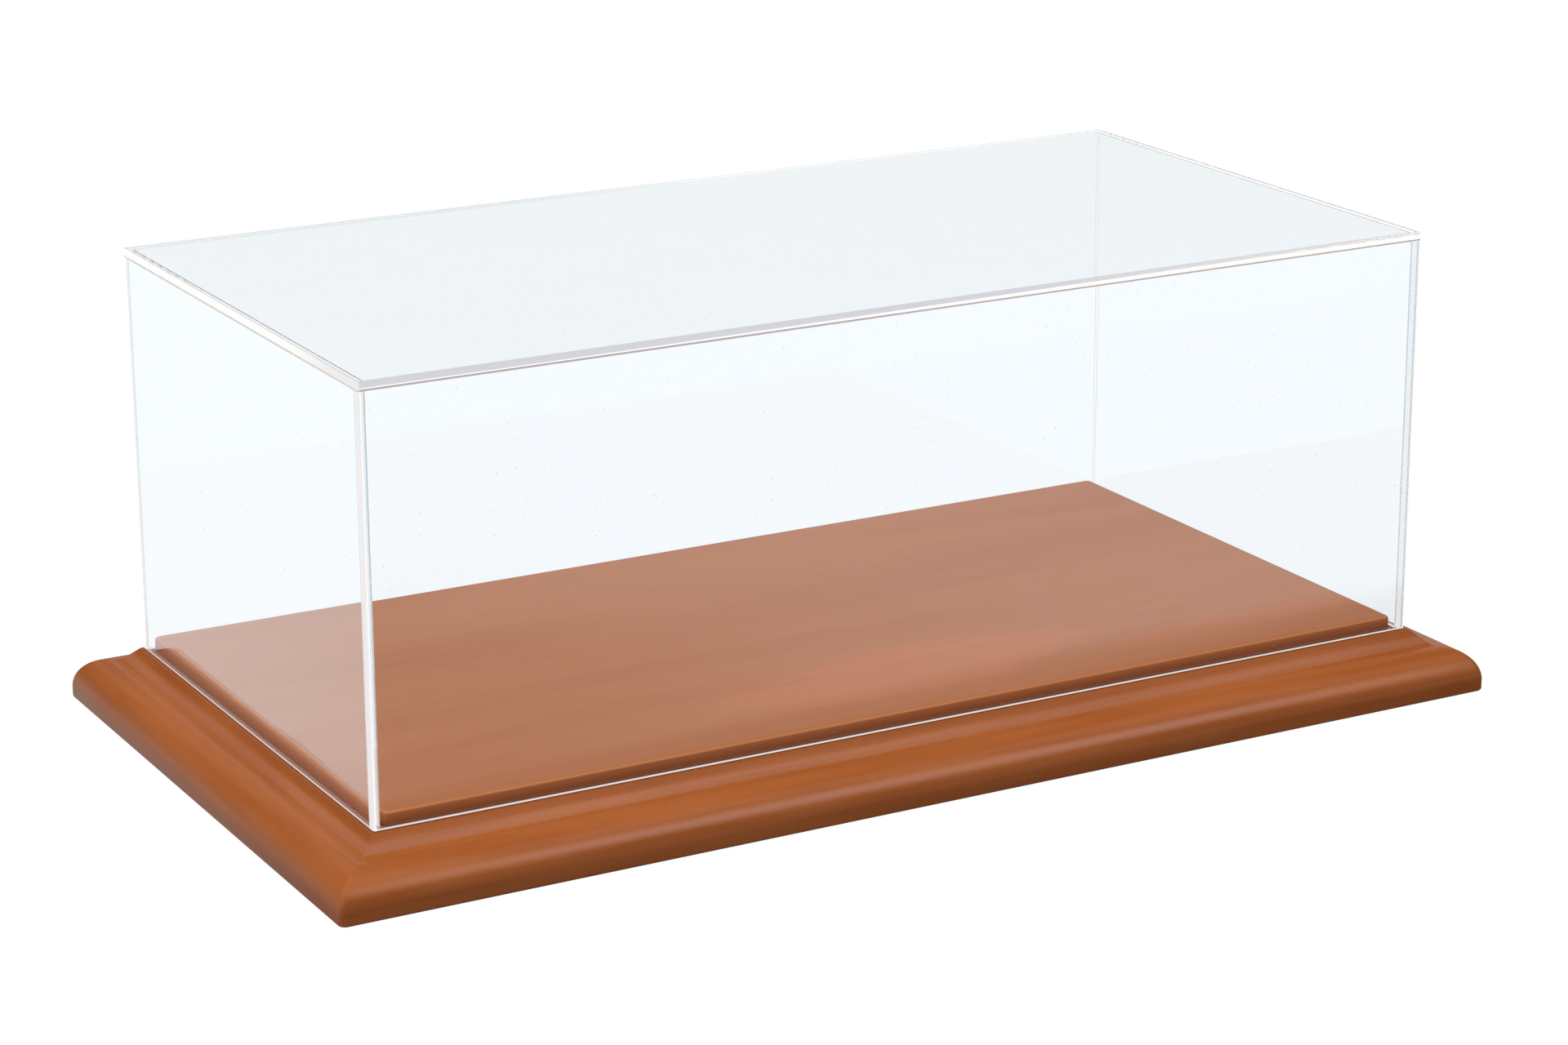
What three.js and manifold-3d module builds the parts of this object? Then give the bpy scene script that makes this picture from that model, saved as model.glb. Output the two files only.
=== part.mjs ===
// Display case: a clear acrylic cover that lifts straight up off a moulded wooden plinth.
//
// Millimetres, +Z up. +X runs along the length and -Y is the front. The origin is the centre of the
// footprint, on the surface that the pads stand on.

import * as THREE from 'three';
import { mergeVertices } from 'three/addons/utils/BufferGeometryUtils.js';
import Module from 'manifold-3d';

const wasm = await Module();
wasm.setup();

// Cover: five sheets. The top lies over all four walls, and the long walls cover the ends' edges.
const coverLength = 325;
const coverWidth = 165;
const coverHeight = 118;
const sheet = 2.5;
const cementGap = 0.1;      // film of cement between two sheets
const arrisRound = 0.5;     // polished outer edge of the top sheet
const coverCorner = 0.8;    // round on the cover's four upright corners
const seatGap = 0.1;        // air between the cover's cut edge and the ledge

// Plinth board: "reach" is measured outward from the cover's outer face.
const boardThickness = 17;
const boardReach = 16.8;    // widest point of the moulding
const footRound = 0.9;      // round on the bottom edge
const torusWidth = 9.6;     // quarter ellipse that rolls over to the side
const torusHeight = 9.1;
const torusFoot = 3.4;      // height where the torus meets the upright side
const hollowRadius = 3.8;
const crestRadius = 1.2;    // round where the ramp meets the ledge
const rampAngle = THREE.MathUtils.degToRad(42);   // slope between the hollow and the crest

// Deck: the raised panel that keeps the cover in place.
const deckEndInset = 3.9;   // from the cover's outer face to the deck, at the left and right
const deckSideInset = 2.8;  // the same at the front and back
const deckHeight = 4;
const deckRound = 1.5;

// Pads
const padThickness = 1.5;
const padRadius = 9;
const padBevel = 0.3;
const padX = 155;           // from the middle of the board to a pad's centre
const padY = 75;

const arcSteps = 5;         // half the facets in a quarter round
const cornerSteps = 4;
const padSides = 36;

const seatHeight = padThickness + boardThickness;
const wallHeight = coverHeight - sheet - cementGap;

// Angles on an outline's plane, for the ends of an arc.
const quarterTurn = Math.PI / 2;
const RIGHT = 0;
const UP = quarterTurn;
const LEFT = 2 * quarterTurn;
const DOWN = -quarterTurn;

const stainedWood = { color: 0xa85a28, roughness: 0.42, metalness: 0 };
const clearAcrylic = { color: 0xf4f9fb, roughness: 0.05, metalness: 0, transparent: true, opacity: 0.25 };
const feltGreen = { color: 0x2e3a30, roughness: 0.95, metalness: 0 };

// ---- Solids ----

// A closed geometry as a solid that can be cut.
function solidOf(geometry) {
  const bare = geometry.clone();
  bare.deleteAttribute('normal');
  bare.deleteAttribute('uv');
  const merged = mergeVertices(bare);
  return new wasm.Manifold(new wasm.Mesh({
    numProp: 3,
    vertProperties: new Float32Array(merged.attributes.position.array),
    triVerts: new Uint32Array(merged.index.array),
  }));
}

// What two closed geometries share, as a geometry.
function shared(first, second) {
  const mesh = solidOf(first).intersect(solidOf(second)).getMesh();
  const geometry = new THREE.BufferGeometry();
  geometry.setAttribute('position', new THREE.BufferAttribute(mesh.vertProperties, 3));
  geometry.setIndex(new THREE.BufferAttribute(mesh.triVerts, 1));
  return geometry;
}

// A flat outline made solid, from z = 0 up to the height.
function upright(outline, height) {
  return new THREE.ExtrudeGeometry(outline, {
    depth: height,
    bevelEnabled: false,
    curveSegments: cornerSteps,
  });
}

// A prism along Y, with its section in the XZ plane. The edge lists one side from the bottom up,
// and the other side mirrors it.
function prism(edge, span, depth) {
  const right = edge.map((point) => new THREE.Vector2(span / 2 + point.x, point.y));
  const left = edge.map((point) => new THREE.Vector2(-span / 2 - point.x, point.y)).reverse();
  const geometry = upright(new THREE.Shape([...right, ...left]), depth);
  return geometry.translate(0, 0, -depth / 2).rotateX(quarterTurn);
}

// A slab with the same moulded edge on all four sides, mitred at its corners.
function mouldedSlab(edge, length, width) {
  const clearance = 4 * boardReach;
  const acrossLength = prism(edge, length, width + clearance);
  const acrossWidth = prism(edge, width, length + clearance).rotateZ(quarterTurn);
  return shared(acrossLength, acrossWidth);
}

// A rectangle about the origin with its four corners rounded.
function roundedRectangle(length, width, radius) {
  const x = length / 2 - radius;
  const y = width / 2 - radius;
  const outline = new THREE.Shape();
  outline.absarc(x, -y, radius, DOWN, RIGHT);
  outline.absarc(x, y, radius, RIGHT, UP);
  outline.absarc(-x, y, radius, UP, LEFT);
  outline.absarc(-x, -y, radius, LEFT, LEFT + quarterTurn);
  return outline;
}

// An upright side of the given height with a round over its top edge.
function roundedTopEdge(height, radius) {
  const edge = new THREE.Path();
  edge.moveTo(0, 0);
  edge.lineTo(0, height - radius);
  edge.absarc(-radius, height - radius, radius, RIGHT, UP);
  return edge.getPoints(arcSteps);
}

// ---- Wooden pieces ----

// How far the ledge reaches, so that the hollow, the ramp and the crest join without a kink.
function ledgeReach() {
  const rise = boardThickness - torusFoot - torusHeight;
  const bothRounds = hollowRadius + crestRadius;
  const rampRise = rise - bothRounds * (1 - Math.cos(rampAngle));
  const hollowEnd = boardReach - torusWidth;
  return hollowEnd - bothRounds * Math.sin(rampAngle) - rampRise / Math.tan(rampAngle);
}

// The board's moulded edge, from the underside up: bottom round, upright side, torus, hollow,
// ramp and crest.
function mouldedEdge() {
  const hollowEnd = boardReach - torusWidth;
  const hollowHeight = torusFoot + torusHeight + hollowRadius;
  const crestHeight = boardThickness - crestRadius;
  const edge = new THREE.Path();
  edge.absarc(boardReach - footRound, footRound, footRound, DOWN, RIGHT);
  edge.absellipse(hollowEnd, torusFoot, torusWidth, torusHeight, RIGHT, UP);
  edge.absarc(hollowEnd, hollowHeight, hollowRadius, DOWN, DOWN - rampAngle, true);
  edge.absarc(ledgeReach(), crestHeight, crestRadius, UP - rampAngle, UP);
  return edge.getPoints(arcSteps);
}

function plinthBoard() {
  return mouldedSlab(mouldedEdge(), coverLength, coverWidth);
}

function deckPanel() {
  const length = coverLength - 2 * deckEndInset;
  const width = coverWidth - 2 * deckSideInset;
  const slab = mouldedSlab(roundedTopEdge(deckHeight, deckRound), length, width);
  return shared(slab, upright(roundedRectangle(length, width, deckRound), deckHeight));
}

// ---- Acrylic sheets ----

function topPanel() {
  const slab = mouldedSlab(roundedTopEdge(sheet, arrisRound), coverLength, coverWidth);
  return shared(slab, upright(roundedRectangle(coverLength, coverWidth, coverCorner), sheet));
}

// A long wall, lying along X with its outer face on y = 0 and its inner face on y = sheet.
function longWall() {
  const x = coverLength / 2 - coverCorner;
  const outline = new THREE.Shape();
  outline.absarc(-x, coverCorner, coverCorner, LEFT, LEFT + quarterTurn);
  outline.absarc(x, coverCorner, coverCorner, DOWN, RIGHT);
  outline.lineTo(coverLength / 2, sheet);
  outline.lineTo(-coverLength / 2, sheet);
  return upright(outline, wallHeight);
}

function endWall() {
  const width = coverWidth - 2 * (sheet + cementGap);
  return new THREE.BoxGeometry(sheet, width, wallHeight).translate(0, 0, wallHeight / 2);
}

// ---- Felt pads ----

function pad() {
  const profile = [
    new THREE.Vector2(0, 0),
    new THREE.Vector2(padRadius - padBevel, 0),
    new THREE.Vector2(padRadius, padBevel),
    new THREE.Vector2(padRadius, padThickness),
    new THREE.Vector2(0, padThickness),
  ];
  return new THREE.LatheGeometry(profile, padSides).rotateX(quarterTurn);
}

// ---- Assembly ----

function piece(name, geometry, look, x, y, z) {
  const mesh = new THREE.Mesh(geometry, new THREE.MeshStandardMaterial(look));
  mesh.name = name;
  mesh.position.set(x, y, z);
  return mesh;
}

function plinth() {
  const group = new THREE.Group();
  group.add(piece('plinth_board', plinthBoard(), stainedWood, 0, 0, padThickness));
  group.add(piece('deck_panel', deckPanel(), stainedWood, 0, 0, seatHeight));
  for (const [row, y] of [['front', -padY], ['back', padY]]) {
    for (const [side, x] of [['left', -padX], ['right', padX]]) {
      group.add(piece(`pad_${row}_${side}`, pad(), feltGreen, x, y, 0));
    }
  }
  return group;
}

function cover() {
  const group = new THREE.Group();
  const endX = (coverLength - sheet) / 2;
  group.add(piece('top_panel', topPanel(), clearAcrylic, 0, 0, wallHeight + cementGap));
  group.add(piece('front_panel', longWall(), clearAcrylic, 0, -coverWidth / 2, 0));
  const back = piece('back_panel', longWall(), clearAcrylic, 0, coverWidth / 2, 0);
  back.rotation.z = 2 * quarterTurn;
  group.add(back);
  group.add(piece('left_panel', endWall(), clearAcrylic, -endX, 0, 0));
  group.add(piece('right_panel', endWall(), clearAcrylic, endX, 0, 0));
  group.position.z = seatHeight + seatGap;
  return group;
}

const displayCase = new THREE.Group();
displayCase.name = 'display_case';
displayCase.add(plinth(), cover());

export default displayCase;
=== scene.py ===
"""The display case's looks: a clear acrylic cover over a stained and lacquered plinth.

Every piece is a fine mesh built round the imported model, in metres, in its frame: +X along the
length, -Y to the front, +Z up. Profile sizes are named in millimetres and turned into metres by MM.
"""

import math

import bmesh
import bpy
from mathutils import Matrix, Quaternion, Vector, noise


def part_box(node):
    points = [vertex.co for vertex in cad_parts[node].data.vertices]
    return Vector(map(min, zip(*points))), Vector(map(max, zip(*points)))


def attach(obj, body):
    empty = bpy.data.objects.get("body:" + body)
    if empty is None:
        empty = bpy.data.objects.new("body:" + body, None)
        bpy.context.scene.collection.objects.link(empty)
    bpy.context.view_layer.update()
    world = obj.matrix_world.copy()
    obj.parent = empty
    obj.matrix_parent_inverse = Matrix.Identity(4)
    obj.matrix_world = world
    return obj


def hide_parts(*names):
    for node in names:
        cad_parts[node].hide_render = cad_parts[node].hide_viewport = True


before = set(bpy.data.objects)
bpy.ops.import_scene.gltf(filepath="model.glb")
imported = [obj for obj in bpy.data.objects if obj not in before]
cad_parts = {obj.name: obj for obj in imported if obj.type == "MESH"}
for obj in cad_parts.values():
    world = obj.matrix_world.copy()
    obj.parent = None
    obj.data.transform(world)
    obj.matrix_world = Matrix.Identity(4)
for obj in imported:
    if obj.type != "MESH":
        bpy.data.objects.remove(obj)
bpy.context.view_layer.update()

MM = 0.001

# Moulding: "reach" is measured outward from the cover's outer face.
FOOT_ROUND = 0.9
TORUS_WIDTH = 9.6
TORUS_HEIGHT = 9.1
TORUS_FOOT = 3.4
HOLLOW_RADIUS = 3.8
CREST_RADIUS = 1.2
RAMP_ANGLE = math.radians(42)
EASE_AT_LEDGE = 0.4         # sanding rounds the board's corners a little at the ledge
EASE_AT_REACH = 1.8         # and more where they stand out furthest

DECK_ROUND = 1.0            # round over the deck's top edge
DECK_CORNER = 1.5           # round on the deck's upright corners
DECK_FOOT_CHAMFER = 0.25    # small shadow line where the deck meets the ledge

SHEET = 2.5
SHEET_ARRIS = 0.12          # tiny bevel along every edge of a sheet
TOP_ROUND = 0.5             # polished outer edge of the top sheet
COVER_CORNER = 0.8          # round on the cover's upright corners

PAD_BULGE = 0.25
PAD_FUZZ = 0.08
PAD_FUZZ_PITCH = 1.7        # the fuzz's noise, in turns per millimetre
PAD_SEGMENTS = 96
PAD_BANDS = 8               # up the pad's bulging side
PAD_CAP_INSET = 2.0         # ring on a flat face, which keeps that face flat up to here
PAD_LIP = 1.2               # how far in the flat face begins, as a share of the bulge
PAD_SIDE_SPAN = (0.06, 0.88)    # where the bulging side starts, and its height, of the pad's

CAP_INSET = 0.4             # ring on the board's and the deck's flat faces, inside their rounds
CORNER_STEPS = 5            # facets round an upright corner
SIDE_CUTS = (16, 8)         # cuts along the long and the short sides of the board and the deck

# The cover's outer faces and its top, and the board's front edge, in millimetres from the origin.
OUTER_X, OUTER_Y, TOP_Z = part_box("top_panel")[1] / MM
BOARD_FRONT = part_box("plinth_board")[0].y / MM

FLOOR_HEIGHT = -0.05        # in millimetres: just under the felt, so that they don't share a plane
FLOOR_REACH = 6.0           # half the floor's side, in metres

# Looks of the light, as radiances. Rays that the eye follows straight, or through or off the clear
# sheets, see a white room. Rays that light the wood see a dimmer one, with a soft box overhead.
WHITE = 1.06
MIRRORED_CEILING = 0.86     # as the clear sheets mirror it
# the two paling shares below are a painted sheen: white laid over the wood where a clear sheet mirrors it
MIRRORED_BOARD = 0.12       # how far the board pales where a clear sheet mirrors it
MIRRORED_DECK = 0.60        # and how far the deck does
CONTACT_SHADE = 0.06        # how much the floor darkens where the board stands on it
ROOM_TOP = 0.30
ROOM_HORIZON = 0.28
ROOM_LEFT = 0.45            # added on the left
FLOOR_BOUNCE = 0.26
LACQUER_FLOOR = 0.50        # the floor and the room, as the lacquer mirrors them
LACQUER_ROOM = 0.01

# White cards that only the lacquer mirrors: the direction each one lies in, its spread in degrees
# and its brightness. Each is at its full brightness within a share of its spread.
CARD_MIDDLE = 0.4
CARDS = (
    ((0.463, -0.60, 0.65), 17, 3.2),
    ((0.463, -0.085, 0.88), 14, 0.6),
    ((0.17, 0.83, 0.53), 26, 0.15),
    ((-0.55, 0.83, 0.02), 22, 0.14),
    ((0.47, 0.70, 0.20), 22, 0.55),
)

# A patch of painted shade on the floor, which the case mirrors: its centre, and where it begins and is
# deepest.
GLOOM_AT = (-100.0, -160.0)
GLOOM_SPAN = (230.0, 10.0)
GLOOM_DEPTH = 0.72

# A strip of painted shade on the floor along the board's front: where it begins and is deepest, ahead of
# the board.
STRIP_SPAN = (72.0, 40.0)
STRIP_DEPTH = 0.95
STRIP_START = (-4.0, 4.0)   # and where it fades in, from under the board
FIRST_MIRROR_DEPTH = 3.5    # the clear sheets mirror the patch and the strip only once

# The light overhead: the direction it lies in, its distance, its two sides and its radiance.
OVERHEAD_TOWARDS = (-0.22, -0.16, 0.90)
OVERHEAD_DISTANCE = 1.5
OVERHEAD_SIZE = (2.2, 1.5)
OVERHEAD_BRIGHTNESS = 2.75


# ---- Node trees ----

class Nodes:
    """A node tree with short calls that add nodes and join them."""

    def __init__(self, tree):
        self.tree = tree
        self.tree.nodes.clear()

    def fill(self, socket, value):
        """Joins the socket to another node's output, or gives it a plain value."""
        if isinstance(value, bpy.types.NodeSocket):
            self.tree.links.new(value, socket)
        else:
            socket.default_value = value

    def add(self, kind, inputs=None, **settings):
        node = self.tree.nodes.new(kind)
        for name, value in settings.items():
            setattr(node, name, value)
        for name, value in (inputs or {}).items():
            self.fill(node.inputs[name], value)
        return node

    def calc(self, operation, *values, clamp=False):
        node = self.add("ShaderNodeMath", operation=operation, use_clamp=clamp)
        for socket, value in zip(node.inputs, values):
            self.fill(socket, value)
        return node.outputs[0]

    def scaled(self, vector, x, y, z):
        node = self.add("ShaderNodeVectorMath", {0: vector, 1: (x, y, z)}, operation="MULTIPLY")
        return node.outputs[0]

    def remap(self, value, low, high, to_low=0.0, to_high=1.0):
        """A smooth step from one pair of values to another."""
        inputs = {0: value, 1: low, 2: high, 3: to_low, 4: to_high}
        return self.add("ShaderNodeMapRange", inputs, interpolation_type="SMOOTHSTEP").outputs[0]

    def noise(self, vector, detail=2.0, roughness=0.5, distortion=0.0):
        inputs = {"Vector": vector, "Scale": 1.0, "Detail": detail, "Roughness": roughness,
                  "Distortion": distortion}
        return self.add("ShaderNodeTexNoise", inputs).outputs[0]

    def blend(self, share, first, second, kind="MIX"):
        node = self.add("ShaderNodeMix", data_type="RGBA", blend_type=kind)
        self.fill(node.inputs[0], share)
        self.fill(node.inputs[6], first)
        self.fill(node.inputs[7], second)
        return node.outputs[2]

    def either(self, share, first, second):
        """A mix of two shaders."""
        return self.add("ShaderNodeMixShader", {0: share, 1: first, 2: second}).outputs[0]

    def glow(self, colour, strength):
        return self.add("ShaderNodeEmission", {"Color": colour, "Strength": strength}).outputs[0]

    def place(self):
        """Where the point is on its object, in millimetres."""
        at = self.add("ShaderNodeTexCoord").outputs["Object"]
        return self.scaled(at, 1 / MM, 1 / MM, 1 / MM)

    def bump(self, height, depth, strength=1.0):
        inputs = {"Height": height, "Distance": depth * MM, "Strength": strength}
        return self.add("ShaderNodeBump", inputs).outputs[0]

    def mix_value(self, share, first, second):
        return self.add("ShaderNodeMix", {0: share, 2: first, 3: second}).outputs[0]

    def axes(self, vector):
        return self.add("ShaderNodeSeparateXYZ", {0: vector}).outputs

    def ray(self, kind):
        return self.add("ShaderNodeLightPath").outputs[kind]

    def straight_ray(self):
        """1 for a ray from the eye, also after the clear sheets bent or mirrored it."""
        return self.calc("MAXIMUM", self.ray("Is Camera Ray"), self.ray("Is Singular Ray"))

    def mirrored_ray(self, counted=0):
        """1 for a straight ray off a clear sheet: crossing adds two turns, mirroring one or three.
        Counted is how many turns the ray depth counts too many, which is one for a world."""
        odd = self.calc("MODULO", self.calc("ADD", self.ray("Ray Depth"), counted), 2.0)
        return self.calc("MULTIPLY", odd, self.ray("Is Singular Ray"))

    def length(self, *parts):
        squares = [self.calc("MULTIPLY", part, part) for part in parts]
        return self.calc("SQRT", self.calc("ADD", *squares))


def new_material(name):
    """A material whose glow, if it has any, is seen but lights nothing else."""
    material = bpy.data.materials.new(name)
    material.use_nodes = True
    material.cycles.emission_sampling = "NONE"
    return material, Nodes(material.node_tree)


def surface(nodes, shader):
    nodes.add("ShaderNodeOutputMaterial", {"Surface": shader})


def grey(value):
    return (value, value, value, 1.0)


# ---- Wood ----

STAIN_LIGHT = (0.372, 0.106, 0.025, 1.0)
STAIN = (0.325, 0.086, 0.018, 1.0)
# the stain's dark streaks and specks, also used as painted shade at the cover's foot
STAIN_DARK_AND_SHADE = (0.210, 0.048, 0.009, 1.0)
# painted highlight low on the ramp
STAIN_PAINTED_HIGHLIGHT = (0.620, 0.400, 0.330, 1.0)
VENEER = (0.395, 0.121, 0.035, 1.0)
VENEER_LIGHT = (0.425, 0.141, 0.044, 1.0)
VENEER_DARK = (0.290, 0.080, 0.022, 1.0)
VENEER_RED = (0.520, 0.142, 0.045, 1.0)
# paler where sanding cut the stain back on the rounded edge, with a painted highlight there too
VENEER_SANDED_LIT_EDGE = (0.560, 0.190, 0.060, 1.0)
# painted light on the deck's upright sides: lighter and redder
VENEER_PAINTED_LIT_SIDE = (0.540, 0.155, 0.045, 1.0)

# Redder flames in the veneer, in millimetres on the deck: centre, half length and width, strength.
FIGURES = (
    ((13.0, -51.0), (62.0, 17.0), 0.50),
    ((113.0, -61.0), (46.0, 7.0), 0.28),
)
FIGURE_SLOPE = 0.04
FIGURE_RAGGED = 1.8             # how far the noise shifts a figure's outline, of its half size

# Heights, in millimetres: below the first the board has no painted shade at the cover's foot and no
# painted highlight on the ramp, and above the second it has them in full. They keep this painted light
# off its underside.
UNPAINTED_UNTIL = (7.0, 9.0)

# Distances outside the cover's outer face, in millimetres: where each painted shade and painted highlight
# begins and is in full.
CREST_SHADE_SPAN = (3.0, 1.4)
CREST_SHADE_DARKNESS = 0.35
FOOT_SHADE_SPAN = (0.9, 0.3)
FOOT_SHADE_DARKNESS = 0.9
HIGHLIGHT_INNER = (2.4, 3.4)
HIGHLIGHT_OUTER = (5.4, 4.4)
HIGHLIGHT_PALENESS = 0.10


def lacquered(nodes, colour, height, depth, roughness, paling):
    """Stained wood seen through a satin lacquer. Paling is a painted sheen, for where a clear sheet
    mirrors it.
    """
    inputs = {
        "Base Color": colour,
        "Roughness": 0.6,
        "Specular IOR Level": 0.0,
        "Coat Weight": 1.0,
        "Coat Roughness": roughness,
        "Coat IOR": 1.5,
        "Coat Normal": nodes.bump(height, depth),
    }
    wood = nodes.add("ShaderNodeBsdfPrincipled", inputs).outputs[0]
    paled = nodes.calc("MULTIPLY", nodes.mirrored_ray(), paling)
    surface(nodes, nodes.either(paled, wood, nodes.glow(grey(1.0), 1.0)))


def moulding_material():
    """A sprayed stain with no grain, a few sanding streaks near the ledge and a satin lacquer, with
    painted shade at the cover's foot and a painted highlight low on the ramp.
    """
    material, nodes = new_material("stained_moulding")
    along = nodes.add("ShaderNodeUVMap", uv_map="run_and_girth").outputs[0]
    place = nodes.place()
    cloud = nodes.noise(nodes.scaled(along, 0.014, 0.16, 1.0), detail=3.0)
    streak = nodes.noise(nodes.scaled(along, 0.016, 1.3, 1.0), detail=4.0, roughness=0.6)
    speck = nodes.noise(nodes.scaled(place, 1.9, 1.9, 1.9), detail=2.0)
    near_ledge = nodes.remap(nodes.axes(along)[1], 15.0, 18.5, 0.02, 0.20)
    streaked = nodes.calc("MULTIPLY", nodes.remap(streak, 0.46, 0.66), near_ledge)
    colour = nodes.blend(nodes.remap(cloud, 0.35, 0.65), STAIN, STAIN_LIGHT)
    colour = nodes.blend(streaked, colour, STAIN_DARK_AND_SHADE)
    colour = nodes.blend(nodes.remap(speck, 0.50, 0.75, 0.0, 0.22), colour, STAIN_DARK_AND_SHADE)
    beyond = beyond_cover(nodes, place)
    on_upper_side = nodes.remap(nodes.axes(place)[2], *UNPAINTED_UNTIL)
    # painted shade at the cover's foot and a painted highlight low on the ramp, kept off the underside
    shade_share = nodes.calc("MULTIPLY", painted_foot_shade(nodes, beyond), on_upper_side)
    highlight_share = nodes.calc("MULTIPLY", painted_ramp_highlight(nodes, beyond), on_upper_side)
    colour = nodes.blend(shade_share, colour, STAIN_DARK_AND_SHADE)
    colour = nodes.blend(highlight_share, colour, STAIN_PAINTED_HIGHLIGHT)
    orange_peel = nodes.noise(nodes.scaled(place, 0.9, 0.9, 0.9), detail=3.0)
    height = nodes.calc("ADD", nodes.calc("MULTIPLY", streaked, 1.2), orange_peel)
    roughness = nodes.remap(cloud, 0.3, 0.7, 0.27, 0.33)
    lacquered(nodes, colour, height, 0.02, roughness, MIRRORED_BOARD)
    return material


def beyond_cover(nodes, place):
    """How far a point lies outside the cover's outer faces, in millimetres."""
    beyond = [nodes.calc("SUBTRACT", nodes.calc("ABSOLUTE", part), outer)
              for part, outer in zip(nodes.axes(place), (OUTER_X, OUTER_Y))]
    return nodes.calc("MAXIMUM", *beyond)


def painted_foot_shade(nodes, beyond):
    """How dark the painted shade on the crest and the ledge is: most from the cover's foot inward."""
    crest = nodes.remap(beyond, *CREST_SHADE_SPAN, 0.0, CREST_SHADE_DARKNESS)
    return nodes.calc("MAXIMUM", crest, nodes.remap(beyond, *FOOT_SHADE_SPAN, 0.0, FOOT_SHADE_DARKNESS))


def painted_ramp_highlight(nodes, beyond):
    """How pale the painted highlight low on the ramp is."""
    inner = nodes.remap(beyond, *HIGHLIGHT_INNER)
    return nodes.calc("MULTIPLY", inner, nodes.remap(beyond, *HIGHLIGHT_OUTER, 0.0, HIGHLIGHT_PALENESS))


def veneer_material():
    """A fine straight-grained veneer along the length, with redder feathered figures."""
    material, nodes = new_material("stained_veneer")
    place = nodes.place()
    fine = nodes.noise(nodes.scaled(place, 0.05, 2.6, 1.0), detail=3.0)
    streak = nodes.noise(nodes.scaled(place, 0.010, 0.34, 1.0), detail=4.0, distortion=0.3)
    broad = nodes.noise(nodes.scaled(place, 0.006, 0.040, 1.0), detail=3.0, distortion=0.6)
    pore = nodes.noise(nodes.scaled(place, 0.22, 5.5, 1.0), detail=1.0)
    colour = nodes.blend(nodes.remap(broad, 0.3, 0.7), VENEER, VENEER_LIGHT)
    colour = nodes.blend(nodes.remap(streak, 0.42, 0.72, 0.0, 0.07), colour, VENEER_DARK)
    for centre, size, strength in FIGURES:
        colour = nodes.blend(figure_share(nodes, place, centre, size, strength), colour, VENEER_RED)
    colour = nodes.blend(nodes.remap(fine, 0.45, 0.72, 0.0, 0.12), colour, VENEER_DARK)
    colour = nodes.blend(nodes.remap(pore, 0.64, 0.74, 0.0, 0.25), colour, VENEER_DARK)
    colour = sanded_and_painted_edge(nodes, colour)
    height = nodes.calc("SUBTRACT", fine, nodes.remap(pore, 0.66, 0.76))
    roughness = nodes.remap(streak, 0.3, 0.7, 0.40, 0.43)
    lacquered(nodes, colour, height, 0.012, roughness, MIRRORED_DECK)
    return material


def sanded_and_painted_edge(nodes, colour):
    """The rounded edge is paler, from sanding and a painted highlight; the sides get painted light,
    lighter and redder.
    """
    upward = nodes.axes(nodes.add("ShaderNodeNewGeometry").outputs["Normal"])[2]
    round_ = nodes.calc("MULTIPLY", nodes.remap(upward, 0.25, 0.55), nodes.remap(upward, 0.98, 0.88))
    side = nodes.remap(upward, 0.35, 0.05, 0.0, 0.8)
    colour = nodes.blend(side, colour, VENEER_PAINTED_LIT_SIDE)
    return nodes.blend(nodes.calc("MULTIPLY", round_, 0.7), colour, VENEER_SANDED_LIT_EDGE)


def figure_share(nodes, place, centre, size, strength):
    """How far a point lies inside a figure, whose ragged ends feather out along the grain."""
    parts = nodes.axes(place)
    ragged = nodes.noise(nodes.scaled(place, 0.030, 0.26, 1.0), detail=5.0, roughness=0.62,
                         distortion=0.5)
    shift = nodes.calc("MULTIPLY", nodes.calc("SUBTRACT", ragged, 0.5), FIGURE_RAGGED)
    along = nodes.calc("SUBTRACT", parts[0], centre[0])
    across = nodes.calc("SUBTRACT", parts[1], centre[1])
    across = nodes.calc("SUBTRACT", across, nodes.calc("MULTIPLY", along, FIGURE_SLOPE))
    distance = nodes.length(*[nodes.calc("DIVIDE", *pair) for pair in zip((along, across), size)])
    return nodes.remap(nodes.calc("ADD", distance, shift), 0.98, 0.88, 0.0, strength)


def felt_material():
    material, nodes = new_material("felt")
    place = nodes.place()
    fibre = nodes.noise(nodes.scaled(place, 3.0, 3.0, 3.0), detail=5.0, distortion=1.2)
    blotch = nodes.noise(nodes.scaled(place, 0.5, 0.5, 0.5), detail=2.0)
    shade = nodes.calc("MULTIPLY", nodes.remap(fibre, 0.3, 0.7), nodes.remap(blotch, 0.2, 0.8, 0.7, 1.0))
    colour = nodes.blend(shade, (0.008, 0.012, 0.009, 1.0), (0.040, 0.055, 0.042, 1.0))
    inputs = {
        "Base Color": colour,
        "Roughness": 0.95,
        "Sheen Weight": 0.5,
        "Sheen Roughness": 0.6,
        "Normal": nodes.bump(fibre, 0.25),
    }
    surface(nodes, nodes.add("ShaderNodeBsdfPrincipled", inputs).outputs[0])
    return material


# ---- Acrylic ----

ACRYLIC_IOR = 1.49
ACRYLIC_TINT = (0.966, 0.979, 0.989, 1.0)
TINTED_DEPTH = 4.5              # a ray is tinted at its first few surfaces only
GUIDED_DEPTH = 9.5              # a ray still inside a sheet after this many turns is guided light
WALL_LIGHT = (0.93, 0.94, 0.93, 1.0)
TOP_LIGHT = (0.70, 0.68, 0.72, 1.0)
RIGHT_LIGHT = (0.84, 0.81, 0.78, 1.0)
END_LIGHT = (1.03, 1.03, 1.01, 1.0)
NEAR_LIGHT = (0.88, 0.85, 0.84, 1.0)
SAWN_GLOW = (0.99, 0.87, 0.81, 1.0)
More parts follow.
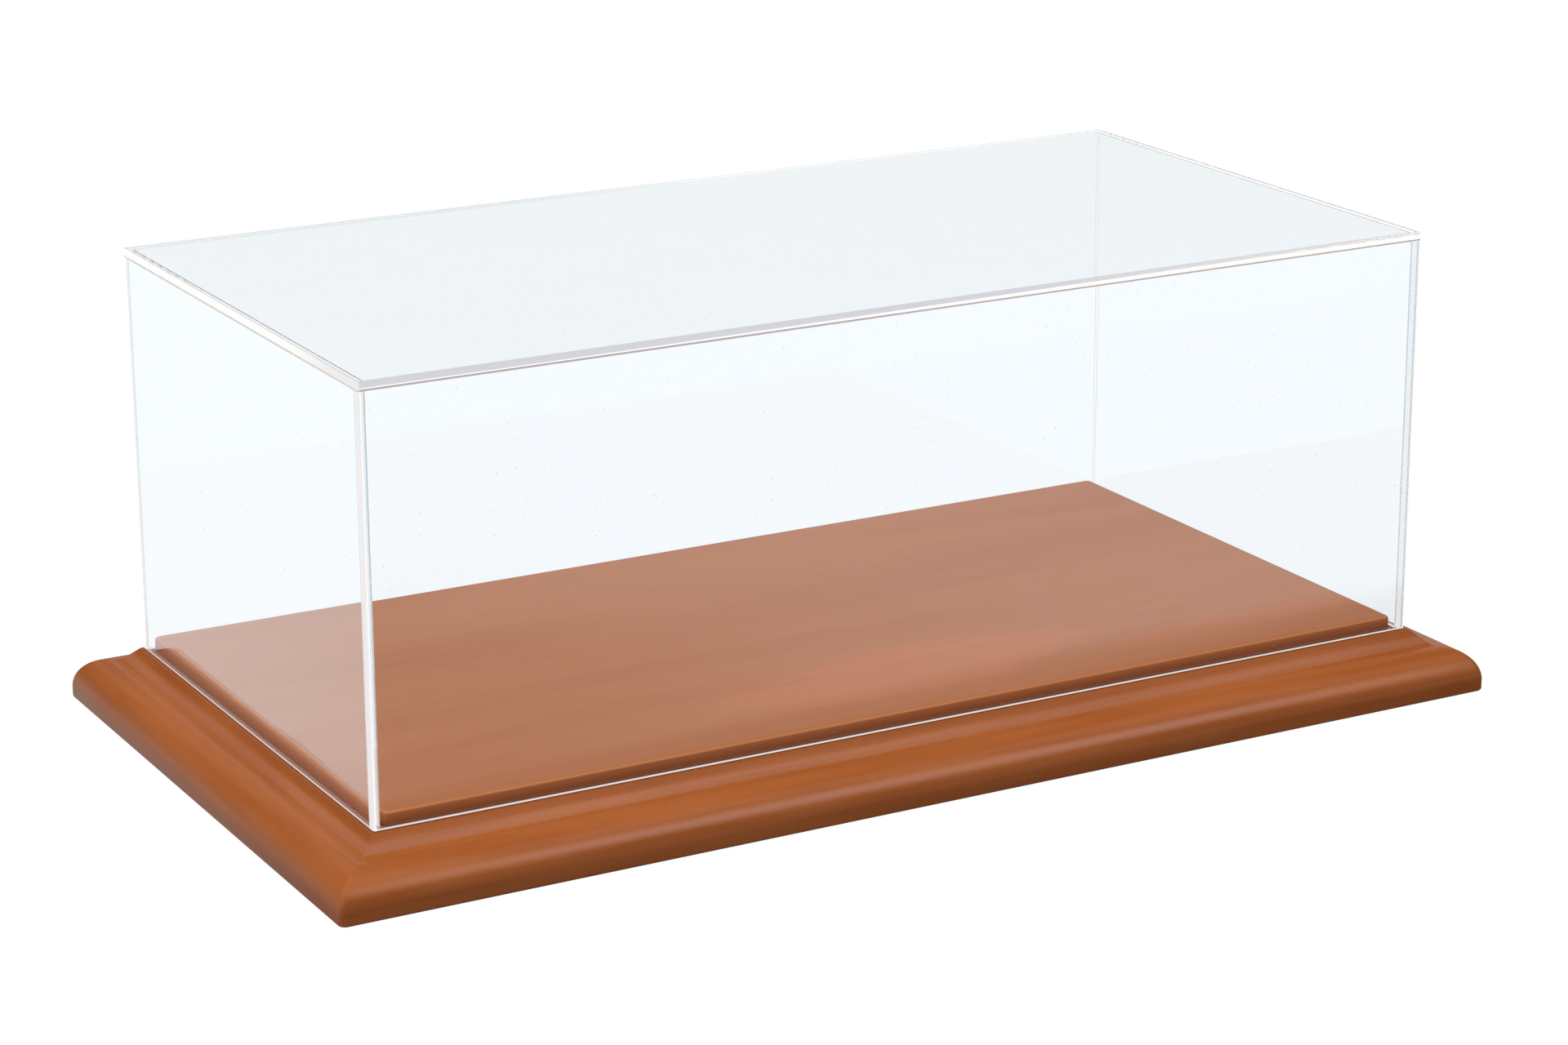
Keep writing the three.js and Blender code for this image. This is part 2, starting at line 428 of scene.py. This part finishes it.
# painted: the brown of the wood seen through the sawn edge
SAWN_PAINTED_WOOD = (0.25, 0.12, 0.06, 1.0)
CEMENT_LINE = (0.40, 0.35, 0.34, 1.0)
PALE_CEMENT = (0.78, 0.72, 0.66, 1.0)
MILKY_TOP = (0.84, 0.81, 0.77, 1.0)
MILKY_UPRIGHT = (0.83, 0.86, 0.89, 1.0)
SAW_PITCH = 0.55                # between the saw's marks on the cemented edges
FIRST_SURFACE_DEPTH = 1.5       # the sawn edge is duller along its inner part, to such rays only

# The top sheet's polished edge greys above its joint. Along the length, in millimetres: from where
# to where its depth changes, and that depth below the top, on the left and on the right.
GREY_SPAN = (-130.0, 130.0)
GREY_DEPTHS = (1.6, 0.7)
GREY_FADE = 0.2
WARM_SPAN = (0.0, 130.0)        # the grey turns to RIGHT_LIGHT along this part of the length
NEAR_SPAN = (-35.0, -75.0)      # an end's edges turn to NEAR_LIGHT along this part of the depth
EDGE_JOINT = (2.0, 2.12)        # depth below the top where the joint's line begins
CARRIED_SHARES = (0.6, 0.9)     # how much of an edge's look is carried light: grey part, pale part

# The cement's two lines, in millimetres across a joint from the walls' inner faces: where each
# begins and is in full, and how dark it is there.
INNER_LINE = (0.55, 0.30)
INNER_DARKNESS = 0.85
OUTER_LINE = (2.0, 2.2)
OUTER_DARKNESS = 0.8
BACK_LINE_SHARE = 0.45          # of that, under the top's back edge
UPRIGHT_LINE_SHARE = 0.4        # and in the upright joints
LINE_BREAKS = (0.25, 0.5, 0.6, 1.0)     # noise values, and the line's shares that they give

# How clouded the saw marks are at the other upright joints, as a share of the right front one's.
LEFT_CLOUD = 0.25
BACK_CLOUD = 0.05
CLOUD_FADE = 10.0               # half the distance over which a cloud changes to the other side's
MARK_HAZE = (0.15, 0.75)        # between two marks and on one
TOP_HAZE_SPAN = (-40.0, 40.0)
TOP_HAZE = (0.12, 0.40)         # under the top, on the left and on the right
# painted glow on the haze, standing in for light guided along the sheets
MILK_PAINTED_GLOW = 0.55

INNER_X = OUTER_X - SHEET       # the walls' inner faces
INNER_Y = OUTER_Y - SHEET
JOINT_Z = TOP_Z - SHEET         # the top sheet's underside


def unseen_ray(nodes):
    """1 for the rays that carry light to the wood: they pass straight through the clear sheets."""
    rough = nodes.calc("SUBTRACT", nodes.ray("Is Glossy Ray"), nodes.ray("Is Singular Ray"), clamp=True)
    light = nodes.calc("MAXIMUM", nodes.ray("Is Shadow Ray"), nodes.ray("Is Diffuse Ray"))
    return nodes.calc("MAXIMUM", light, rough)


def clear(nodes, shader):
    """The shader for the eye, and nothing at all for the light that crosses the sheet."""
    guided = nodes.calc("GREATER_THAN", nodes.ray("Ray Depth"), GUIDED_DEPTH)
    in_top = nodes.calc("GREATER_THAN", nodes.axes(nodes.place())[2], JOINT_Z)
    light = nodes.glow(nodes.blend(in_top, WALL_LIGHT, TOP_LIGHT), 1.0)
    seen = nodes.either(guided, shader, light)
    through = nodes.add("ShaderNodeBsdfTransparent").outputs[0]
    surface(nodes, nodes.either(unseen_ray(nodes), seen, through))


def glass(nodes, height, depth):
    tinted = nodes.calc("LESS_THAN", nodes.ray("Ray Depth"), TINTED_DEPTH)
    inputs = {
        "Color": nodes.blend(tinted, grey(1.0), ACRYLIC_TINT),
        "Roughness": 0.0,
        "IOR": ACRYLIC_IOR,
        "Normal": nodes.bump(height, depth),
    }
    return nodes.add("ShaderNodeBsdfGlass", inputs).outputs[0]


def across_joint(nodes, place):
    """How far a point of a cemented face lies from the walls' inner faces, in millimetres."""
    parts = nodes.axes(place)
    beyond = [nodes.calc("SUBTRACT", nodes.calc("ABSOLUTE", part), inner)
              for part, inner in zip(parts, (INNER_X, INNER_Y))]
    return nodes.calc("MAXIMUM", *beyond)


def cement_lines(nodes, place):
    """How dark a cemented face is: a line of cement is squeezed out along both sides of it."""
    across = across_joint(nodes, place)
    broken = nodes.noise(nodes.scaled(place, 0.4, 0.4, 0.4), detail=2.0)
    inner = nodes.remap(across, *INNER_LINE, 0.0, INNER_DARKNESS)
    outer = nodes.remap(across, *OUTER_LINE, 0.0, OUTER_DARKNESS)
    line = nodes.calc("MAXIMUM", inner, outer)
    parts = nodes.axes(place)
    at_back = nodes.remap(parts[1], INNER_Y - 1.0, INNER_Y, 1.0, BACK_LINE_SHARE)
    under_top = nodes.remap(parts[2], JOINT_Z - 0.5, JOINT_Z - 0.2, UPRIGHT_LINE_SHARE, at_back)
    line = nodes.calc("MULTIPLY", line, under_top)
    return nodes.calc("MULTIPLY", line, nodes.remap(broken, *LINE_BREAKS))


def face_material():
    """A sheet's large polished faces: almost flat, with a little dust."""
    material, nodes = new_material("acrylic_face")
    place = nodes.place()
    wave = nodes.noise(nodes.scaled(place, 0.012, 0.012, 0.012), detail=1.0)
    dust = nodes.noise(nodes.scaled(place, 0.9, 0.9, 0.9), detail=0.0)
    share = nodes.remap(dust, 0.83, 0.88, 0.0, 0.25)
    speck = nodes.add("ShaderNodeBsdfDiffuse", {"Color": grey(0.7)}).outputs[0]
    clear(nodes, nodes.either(share, glass(nodes, wave, 0.3), speck))
    return material


def edge_material():
    """A sheet's cut and polished edge. It carries light guided from the far side of the sheet."""
    material, nodes = new_material("acrylic_edge")
    place = nodes.place()
    marks = nodes.noise(nodes.scaled(place, 0.15, 0.15, 2.0), detail=2.0)
    parts = nodes.axes(place)
    below_top = nodes.calc("SUBTRACT", TOP_Z, parts[2])
    grey_until = nodes.remap(parts[0], *GREY_SPAN, *GREY_DEPTHS)
    near_joint = nodes.remap(nodes.calc("SUBTRACT", below_top, grey_until), 0.0, GREY_FADE)
    sideways = nodes.calc("ABSOLUTE", nodes.axes(nodes.add("ShaderNodeNewGeometry").outputs["Normal"])[0])
    on_end = nodes.remap(sideways, 0.4, 0.6)
    near = nodes.calc("MULTIPLY", on_end, nodes.remap(parts[1], *NEAR_SPAN))
    pale = nodes.blend(near, END_LIGHT, NEAR_LIGHT)
    dull = nodes.blend(nodes.remap(parts[0], *WARM_SPAN), TOP_LIGHT, RIGHT_LIGHT)
    at_joint = nodes.calc("MAXIMUM", near_joint, on_end)
    colour = nodes.blend(at_joint, dull, pale)
    in_sheet = nodes.calc("LESS_THAN", below_top, SHEET)
    joint = nodes.calc("MULTIPLY", nodes.remap(below_top, *EDGE_JOINT), in_sheet)
    colour = nodes.blend(joint, colour, nodes.blend(on_end, CEMENT_LINE, PALE_CEMENT))
    carried = nodes.glow(colour, 1.0)
    share = nodes.mix_value(at_joint, *CARRIED_SHARES)
    first_seen = nodes.calc("MULTIPLY", nodes.ray("Is Camera Ray"), share)
    clear(nodes, nodes.either(first_seen, glass(nodes, marks, 0.01), carried))
    return material


def bond_material():
    """A cemented edge: light crosses it, saw marks in the cement whiten it, and a painted glow brightens
    that haze.
    """
    material, nodes = new_material("acrylic_bond")
    place = nodes.place()
    parts = nodes.axes(place)
    slant = nodes.calc("ADD", parts[2], nodes.calc("MULTIPLY", across_joint(nodes, place), 0.5))
    wander = nodes.noise(nodes.scaled(place, 0.5, 0.5, 0.5), detail=2.0)
    turn = nodes.calc("ADD", nodes.calc("DIVIDE", slant, SAW_PITCH), nodes.calc("MULTIPLY", wander, 2.0))
    marks = nodes.calc("SINE", nodes.calc("MULTIPLY", turn, 2 * math.pi))
    on_right = nodes.remap(parts[0], -CLOUD_FADE, CLOUD_FADE, LEFT_CLOUD, 1.0)
    in_front = nodes.remap(parts[1], CLOUD_FADE, -CLOUD_FADE, BACK_CLOUD, 1.0)
    clouded = nodes.calc("MULTIPLY", on_right, in_front)
    haze = nodes.calc("MULTIPLY", nodes.remap(marks, -0.6, 0.8, *MARK_HAZE), clouded)
    at_top = nodes.remap(parts[2], JOINT_Z - 0.6, JOINT_Z - 0.2)
    haze = nodes.mix_value(at_top, haze, nodes.remap(parts[0], *TOP_HAZE_SPAN, *TOP_HAZE))
    milk = nodes.blend(at_top, MILKY_UPRIGHT, MILKY_TOP)
    milky = nodes.add("ShaderNodeBsdfDiffuse", {"Color": milk}).outputs[0]
    lit = nodes.add("ShaderNodeAddShader", {0: milky, 1: nodes.glow(milk, MILK_PAINTED_GLOW)}).outputs[0]
    colour = nodes.blend(cement_lines(nodes, place), grey(1.0), CEMENT_LINE)
    through = nodes.add("ShaderNodeBsdfTransparent", {"Color": colour}).outputs[0]
    clear(nodes, nodes.either(haze, through, lit))
    return material


def joined_material():
    """The face that a cemented edge is stuck to: light crosses it, except at the cement's lines."""
    material, nodes = new_material("acrylic_joined")
    colour = nodes.blend(cement_lines(nodes, nodes.place()), grey(1.0), CEMENT_LINE)
    clear(nodes, nodes.add("ShaderNodeBsdfTransparent", {"Color": colour}).outputs[0])
    return material


def sawn_material():
    """The walls' lower edge, left rough by the saw: it glows with the light guided down the sheet,
    most along its outer part; elsewhere it shows a painted brown, for the wood seen through it."""
    material, nodes = new_material("acrylic_sawn_edge")
    saw = nodes.noise(nodes.scaled(nodes.place(), 1.6, 1.6, 1.0), detail=2.0)
    strength = nodes.remap(saw, 0.3, 0.7, 0.86, 0.98)
    rough = nodes.add("ShaderNodeBsdfDiffuse", {"Color": SAWN_PAINTED_WOOD}).outputs[0]
    shine = nodes.remap(across_joint(nodes, nodes.place()), 0.2, 1.0, 0.25, 1.0)
    seen_once = nodes.calc("LESS_THAN", nodes.ray("Ray Depth"), FIRST_SURFACE_DEPTH)
    shine = nodes.mix_value(seen_once, 1.0, shine)
    lit = nodes.calc("MULTIPLY", nodes.straight_ray(), shine)
    surface(nodes, nodes.either(lit, rough, nodes.glow(SAWN_GLOW, strength)))
    return material


# ---- Meshes ----

def arc(centre, radii, start, turn, steps):
    """Points on a quarter or less of an ellipse, from an angle through a turn."""
    points = []
    for step in range(steps + 1):
        angle = start + turn * step / steps
        points.append((centre[0] + radii[0] * math.cos(angle), centre[1] + radii[1] * math.sin(angle)))
    return points


def rounded_ring(length, width, radius, z, cuts=SIDE_CUTS):
    """A rounded rectangle about the origin, counter-clockwise from the front side's left end."""
    x = length / 2 - radius
    y = width / 2 - radius
    corners = ((x, -y, -90), (x, y, 0), (-x, y, 90), (-x, -y, 180))
    ring = []
    for index, (cx, cy, start) in enumerate(corners):
        turned = arc((cx, cy), (radius, radius), math.radians(start), math.pi / 2, CORNER_STEPS)
        ahead = corners[(index + 1) % 4]
        side = Vector((ahead[0] - cx, ahead[1] - cy))
        count = cuts[(index + 1) % 2]
        last = Vector(turned[-1])
        ring += [Vector((px, py, z)) for px, py in turned]
        ring += [Vector((*(last + side * step / count), z)) for step in range(1, count)]
    return ring


def mesh_object(name, builder, materials):
    mesh = bpy.data.meshes.new(name)
    bmesh.ops.recalc_face_normals(builder, faces=builder.faces)
    builder.to_mesh(mesh)
    builder.free()
    piece = bpy.data.objects.new(name, mesh)
    bpy.context.scene.collection.objects.link(piece)
    for material in materials:
        mesh.materials.append(material)
    return piece


def loft(rings, slots=None):
    """A closed solid through the rings, from the lowest cap to the highest. Slots name each band."""
    builder = bmesh.new()
    rows = [[builder.verts.new(point) for point in ring] for ring in rings]
    slots = slots or [0] * (len(rings) + 1)
    for band, (low, high) in enumerate(zip(rows, rows[1:])):
        for index, corner in enumerate(low):
            ahead = (index + 1) % len(low)
            face = builder.faces.new((corner, low[ahead], high[ahead], high[index]))
            face.material_index = slots[band + 1]
    builder.faces.new(list(reversed(rows[0]))).material_index = slots[0]
    builder.faces.new(rows[-1]).material_index = slots[-1]
    return builder


def smooth(builder):
    for face in builder.faces:
        face.smooth = True


def moulded_profile(thickness, reach):
    """The board's edge as (reach, height) in millimetres, from the underside up to the ledge."""
    hollow_end = reach - TORUS_WIDTH
    torus_top = TORUS_FOOT + TORUS_HEIGHT
    rounds = HOLLOW_RADIUS + CREST_RADIUS
    ramp_rise = thickness - torus_top - rounds * (1 - math.cos(RAMP_ANGLE))
    ledge = hollow_end - rounds * math.sin(RAMP_ANGLE) - ramp_rise / math.tan(RAMP_ANGLE)
    up = math.pi / 2
    foot = arc((reach - FOOT_ROUND, FOOT_ROUND), (FOOT_ROUND, FOOT_ROUND), -up, up, 6)
    torus = arc((hollow_end, TORUS_FOOT), (TORUS_WIDTH, TORUS_HEIGHT), 0, up, 24)
    hollow_at = (hollow_end, torus_top + HOLLOW_RADIUS)
    hollow = arc(hollow_at, (HOLLOW_RADIUS, HOLLOW_RADIUS), -up, -RAMP_ANGLE, 10)
    crest_at = (ledge, thickness - CREST_RADIUS)
    crest = arc(crest_at, (CREST_RADIUS, CREST_RADIUS), up - RAMP_ANGLE, RAMP_ANGLE, 8)
    return foot + torus[:-1] + hollow + crest


def lay_grain(piece, girths):
    """UVs in millimetres: distance along the side, and the girth measured round the profile."""
    mesh = piece.data
    layer = mesh.uv_layers.new(name="run_and_girth")
    for face in mesh.polygons:
        along_x = abs(face.normal.x) <= abs(face.normal.y)
        for loop in face.loop_indices:
            vertex = mesh.loops[loop].vertex_index
            point = mesh.vertices[vertex].co / MM
            run = point.x if along_x else point.y + 1000
            layer.data[loop].uv = (run, girths[vertex])


def moulded_board(material):
    cover = Vector(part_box("top_panel")[1]) * 2
    low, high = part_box("plinth_board")
    reach = (high.x - cover.x / 2) / MM
    thickness = (high.z - low.z) / MM
    profile = moulded_profile(thickness, reach)
    under = (profile[0][0] - CAP_INSET, 0.0)
    over = (profile[-1][0] - CAP_INSET, thickness)
    profile = [under, *profile, over]
    rings = []
    girths = []
    girth = 0.0
    for step, (out, height) in enumerate(profile):
        if step:
            girth += math.dist(profile[step - 1], profile[step])
        ease = EASE_AT_LEDGE + (EASE_AT_REACH - EASE_AT_LEDGE) * out / reach
        ring = rounded_ring(cover.x + 2 * out * MM, cover.y + 2 * out * MM, ease * MM,
                            low.z + height * MM)
        rings.append(ring)
        girths += [girth] * len(ring)
    builder = loft(rings)
    smooth(builder)
    piece = mesh_object("moulded_board", builder, [material])
    lay_grain(piece, girths)
    return piece


def deck(material):
    low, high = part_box("deck_panel")
    length = high.x - low.x
    width = high.y - low.y
    radius = DECK_ROUND * MM
    chamfer = DECK_FOOT_CHAMFER * MM
    inset = CAP_INSET * MM
    sides = [(-inset - chamfer, 0.0), (-chamfer, 0.0), (0.0, chamfer)]
    height = high.z - low.z
    sides += arc((-radius, height - radius), (radius, radius), 0, math.pi / 2, 8)
    sides.append((-radius - inset, height))
    corner = DECK_CORNER * MM
    rings = [rounded_ring(length + 2 * out, width + 2 * out, corner + min(out, 0) * 0.5, low.z + up)
             for out, up in sides]
    builder = loft(rings)
    smooth(builder)
    return mesh_object("veneered_deck", builder, [material])


FACE, EDGE, BOND, JOINED, SAWN = range(5)


def top_sheet(materials):
    low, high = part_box("top_panel")
    length = high.x - low.x
    width = high.y - low.y
    height = high.z - low.z
    corner = COVER_CORNER * MM
    wall = SHEET * MM
    arris = SHEET_ARRIS * MM
    round_ = TOP_ROUND * MM
    sides = [(-wall, 0.0), (-arris, 0.0), (0.0, arris)]
    sides += arc((-round_, height - round_), (round_, round_), 0, math.pi / 2, 5)
    rings = [rounded_ring(length + 2 * out, width + 2 * out, max(corner + out, 0.05 * MM), low.z + up,
                          cuts=(1, 1))
             for out, up in sides]
    slots = [FACE, JOINED] + [EDGE] * (len(sides) - 2) + [FACE]
    return mesh_object("top_sheet", loft(rings, slots), materials)


def upright_sheet(name, outline, low, high, materials, slot_of):
    """A wall: an outline in plan, made solid between two heights. slot_of picks a face's finish."""
    rings = [[Vector((x, y, z)) for x, y in outline] for z in (low, high)]
    builder = loft(rings)
    bmesh.ops.recalc_face_normals(builder, faces=builder.faces)
    builder.normal_update()
    for face in builder.faces:
        face.material_index = slot_of(face.normal, face.calc_center_median())
    piece = mesh_object(name, builder, materials)
    bevel = piece.modifiers.new("arris", "BEVEL")
    bevel.width = SHEET_ARRIS * MM
    bevel.segments = 2
    bevel.limit_method = "ANGLE"
    bevel.angle_limit = math.radians(40)
    return piece


def long_wall(name, node, back, materials):
    """The front or back wall, which covers the ends' edges."""
    low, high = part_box(node)
    corner = COVER_CORNER * MM
    wall = SHEET * MM
    x = high.x
    outer = high.y if back else low.y
    way = -1 if back else 1     # from the outer face inward
    outline = arc((-x + corner, outer + way * corner), (corner, way * corner), math.pi, math.pi / 2, 4)
    outline += arc((x - corner, outer + way * corner), (corner, way * corner), -math.pi / 2,
                   math.pi / 2, 4)
    inner = outer + way * wall
    outline += [(x, inner), (x - wall, inner), (-x + wall, inner), (-x, inner)]
    if back:
        outline.reverse()

    def slot_of(normal, centre):
        if normal.z < -0.5:
            return SAWN
        if normal.z > 0.5:
            return BOND
        if abs(normal.x) > 0.05:
            return EDGE
        on_strip = abs(centre.x) > x - wall and abs(centre.y - inner) < 0.1 * MM
        return JOINED if on_strip else FACE

    return upright_sheet(name, outline, low.z, high.z, materials, slot_of)


def end_wall(name, node, materials):
    """The left or right wall, between the long walls."""
    low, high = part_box(node)
    outline = [(low.x, low.y), (high.x, low.y), (high.x, high.y), (low.x, high.y)]

    def slot_of(normal, centre):
        if normal.z < -0.5:
            return SAWN
        if normal.z > 0.5 or abs(normal.y) > 0.5:
            return BOND
        return FACE

    return upright_sheet(name, outline, low.z, high.z, materials, slot_of)


def felt_pad(name, node, material):
    """A self-adhesive felt disc, pressed out a little at its rim and fuzzy at its edge."""
    low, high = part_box(node)
    centre = (low + high) / 2
    radius = (high.x - low.x) / 2 - (PAD_FUZZ + 0.02) * MM
    height = high.z - low.z
    bulge = PAD_BULGE * MM
    cap = -PAD_CAP_INSET * MM
    lip = -PAD_LIP * bulge
    foot, span = PAD_SIDE_SPAN
    sides = [(cap, 0.0), (lip, 0.0)]
    for step in range(PAD_BANDS + 1):
        out = -bulge * (1 - math.sin(math.pi * step / PAD_BANDS))
        sides.append((out, height * (foot + span * step / PAD_BANDS)))
    sides += [(lip, height), (cap, height)]
    rings = []
    for out, up in sides:
        ring = []
        for index in range(PAD_SEGMENTS):
            angle = 2 * math.pi * index / PAD_SEGMENTS
            spot = Vector((math.cos(angle), math.sin(angle), 0)) * (radius + out)
            where = (centre + spot + Vector((0, 0, up))) / MM * PAD_FUZZ_PITCH
            fuzz = noise.noise(where) * PAD_FUZZ * MM
            if up in (0.0, height):
                fuzz = 0.0
            spot *= 1 + fuzz / spot.length
            ring.append(Vector((centre.x, centre.y, low.z + up)) + spot)
        rings.append(ring)
    builder = loft(rings)
    smooth(builder)
    return mesh_object(name, builder, [material])


# ---- The object ----

def finish_piece(piece, body, node):
    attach(piece, body)
    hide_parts(node)


def build_plinth():
    finish_piece(moulded_board(moulding_material()), "plinth", "plinth_board")
    finish_piece(deck(veneer_material()), "plinth", "deck_panel")
    felt = felt_material()
    for row in ("front", "back"):
        for side in ("left", "right"):
            pad = felt_pad(f"felt_{row}_{side}", f"pad_{row}_{side}", felt)
            finish_piece(pad, "plinth", f"pad_{row}_{side}")


def build_cover():
    materials = [face_material(), edge_material(), bond_material(), joined_material(),
                 sawn_material()]
    sheets = {
        "top_panel": top_sheet(materials),
        "front_panel": long_wall("front_sheet", "front_panel", False, materials),
        "back_panel": long_wall("back_sheet", "back_panel", True, materials),
        "left_panel": end_wall("left_sheet", "left_panel", materials),
        "right_panel": end_wall("right_sheet", "right_panel", materials),
    }
    for node, sheet in sheets.items():
        finish_piece(sheet, "cover", node)


# ---- Floor, light and camera ----

def floor_material():
    """White to the eye, with a faint contact shadow, and dim to the rays that light the wood."""
    material, nodes = new_material("floor")
    open_sky = nodes.add("ShaderNodeAmbientOcclusion", {"Distance": 0.05}, samples=8).outputs["AO"]
    shade = nodes.remap(open_sky, 0.4, 1.0, WHITE * (1 - CONTACT_SHADE), WHITE)
    first_mirror = nodes.calc("MULTIPLY", nodes.mirrored_ray(),
                              nodes.calc("LESS_THAN", nodes.ray("Ray Depth"), FIRST_MIRROR_DEPTH))
    light = nodes.calc("SUBTRACT", 1.0, floor_gloom(nodes))
    shade = nodes.calc("MULTIPLY", shade, nodes.mix_value(first_mirror, 1.0, light))
    lacquer = nodes.calc("MULTIPLY", light, LACQUER_FLOOR)
    bounce = nodes.mix_value(nodes.ray("Is Glossy Ray"), FLOOR_BOUNCE, lacquer)
    surface(nodes, nodes.glow(grey(1.0), nodes.mix_value(nodes.straight_ray(), bounce, shade)))
    return material


def floor_gloom(nodes):
    """How dark the painted shade on the floor is where the case mirrors it: a patch, and a strip along
    the front.
    """
    parts = nodes.axes(nodes.place())
    offsets = [nodes.calc("SUBTRACT", part, at) for part, at in zip(parts, GLOOM_AT)]
    patch = nodes.remap(nodes.length(*offsets), *GLOOM_SPAN, 0.0, GLOOM_DEPTH)
    ahead = nodes.calc("SUBTRACT", BOARD_FRONT, parts[1])
    near = nodes.remap(ahead, *STRIP_SPAN, 0.0, STRIP_DEPTH)
    strip = nodes.calc("MULTIPLY", near, nodes.remap(ahead, *STRIP_START))
    return nodes.calc("MAXIMUM", patch, strip)


def build_floor():
    builder = bmesh.new()
    bmesh.ops.create_grid(builder, x_segments=1, y_segments=1, size=FLOOR_REACH)
    floor = mesh_object("floor", builder, [floor_material()])
    floor.location.z = FLOOR_HEIGHT * MM


def room_light(nodes, parts):
    """What lights the stain: a dim room, brighter overhead and on the left."""
    overhead = nodes.remap(parts[2], 0.0, 0.9, ROOM_HORIZON, ROOM_TOP)
    left = nodes.remap(parts[0], 0.1, -0.9, 0.0, ROOM_LEFT)
    return nodes.calc("ADD", overhead, left)


def mirrored_room(nodes, direction):
    """What the lacquer mirrors: a dark room with a few soft white cards."""
    light = LACQUER_ROOM
    for towards, spread, brightness in CARDS:
        inputs = {0: direction, 1: Vector(towards).normalized()}
        facing = nodes.add("ShaderNodeVectorMath", inputs, operation="DOT_PRODUCT").outputs["Value"]
        edge = math.cos(math.radians(spread))
        middle = math.cos(math.radians(spread * CARD_MIDDLE))
        light = nodes.calc("ADD", light, nodes.remap(facing, edge, middle, 0.0, brightness))
    return light


def build_world():
    """A room that is sampled only by the rays that hit it, so that each kind sees its own room."""
    world = bpy.data.worlds.new("studio")
    bpy.context.scene.world = world
    world.use_nodes = True
    world.cycles.sampling_method = "NONE"
    nodes = Nodes(world.node_tree)
    direction = nodes.add("ShaderNodeTexCoord").outputs["Generated"]
    parts = nodes.axes(direction)
    upward = nodes.calc("GREATER_THAN", parts[2], 0.0)
    mirrored = nodes.calc("MULTIPLY", upward, nodes.mirrored_ray(counted=1))
    seen = nodes.mix_value(mirrored, WHITE, MIRRORED_CEILING)
    unseen = nodes.mix_value(nodes.ray("Is Glossy Ray"), room_light(nodes, parts),
                             mirrored_room(nodes, direction))
    strength = nodes.mix_value(nodes.straight_ray(), unseen, seen)
    background = nodes.add("ShaderNodeBackground", {"Color": grey(1.0), "Strength": strength})
    nodes.add("ShaderNodeOutputWorld", {"Surface": background.outputs[0]})


def soft_box(name, direction, distance, size, brightness):
    """A rectangular light that faces the object, and that no surface mirrors: CARDS stand for it
    there. Its brightness is its radiance."""
    data = bpy.data.lights.new(name, "AREA")
    data.shape = "RECTANGLE"
    data.size, data.size_y = size
    data.energy = brightness * math.pi * size[0] * size[1]
    light = bpy.data.objects.new(name, data)
    bpy.context.scene.collection.objects.link(light)
    away = Vector(direction).normalized()
    light.location = away * distance
    light.rotation_mode = "QUATERNION"
    light.rotation_quaternion = away.to_track_quat("Z", "Y")
    light.visible_camera = False
    light.visible_transmission = False
    light.visible_glossy = False


def build_lights():
    soft_box("overhead_box", OVERHEAD_TOWARDS, OVERHEAD_DISTANCE, OVERHEAD_SIZE, OVERHEAD_BRIGHTNESS)


CAMERA_AT = (-531.7, -963.4, 394.7)
CAMERA_AZIMUTH = math.radians(-29.0)
CAMERA_ELEVATION = math.radians(17.23)
CAMERA_ROLL = math.radians(-0.21)
CAMERA_LENS = 92.36             # in millimetres, for a sensor as wide as the one below
CAMERA_SENSOR = 36


def build_camera():
    data = bpy.data.cameras.new("camera")
    data.lens = CAMERA_LENS
    data.sensor_width = CAMERA_SENSOR
    camera = bpy.data.objects.new("camera", data)
    bpy.context.scene.collection.objects.link(camera)
    flat = math.cos(CAMERA_ELEVATION)
    back = Vector((math.sin(CAMERA_AZIMUTH) * flat, -math.cos(CAMERA_AZIMUTH) * flat,
                   math.sin(CAMERA_ELEVATION)))
    camera.location = Vector(CAMERA_AT) * MM
    camera.rotation_mode = "QUATERNION"
    camera.rotation_quaternion = back.to_track_quat("Z", "Y") @ Quaternion((0, 0, 1), CAMERA_ROLL)
    bpy.context.scene.camera = camera


def set_render_looks():
    scene = bpy.context.scene
    scene.view_settings.view_transform = "Standard"
    scene.cycles.max_bounces = 24
    scene.cycles.glossy_bounces = 16
    scene.cycles.transmission_bounces = 16
    scene.cycles.transparent_max_bounces = 24


build_plinth()
build_cover()
build_floor()
build_world()
build_lights()
build_camera()
set_render_looks()
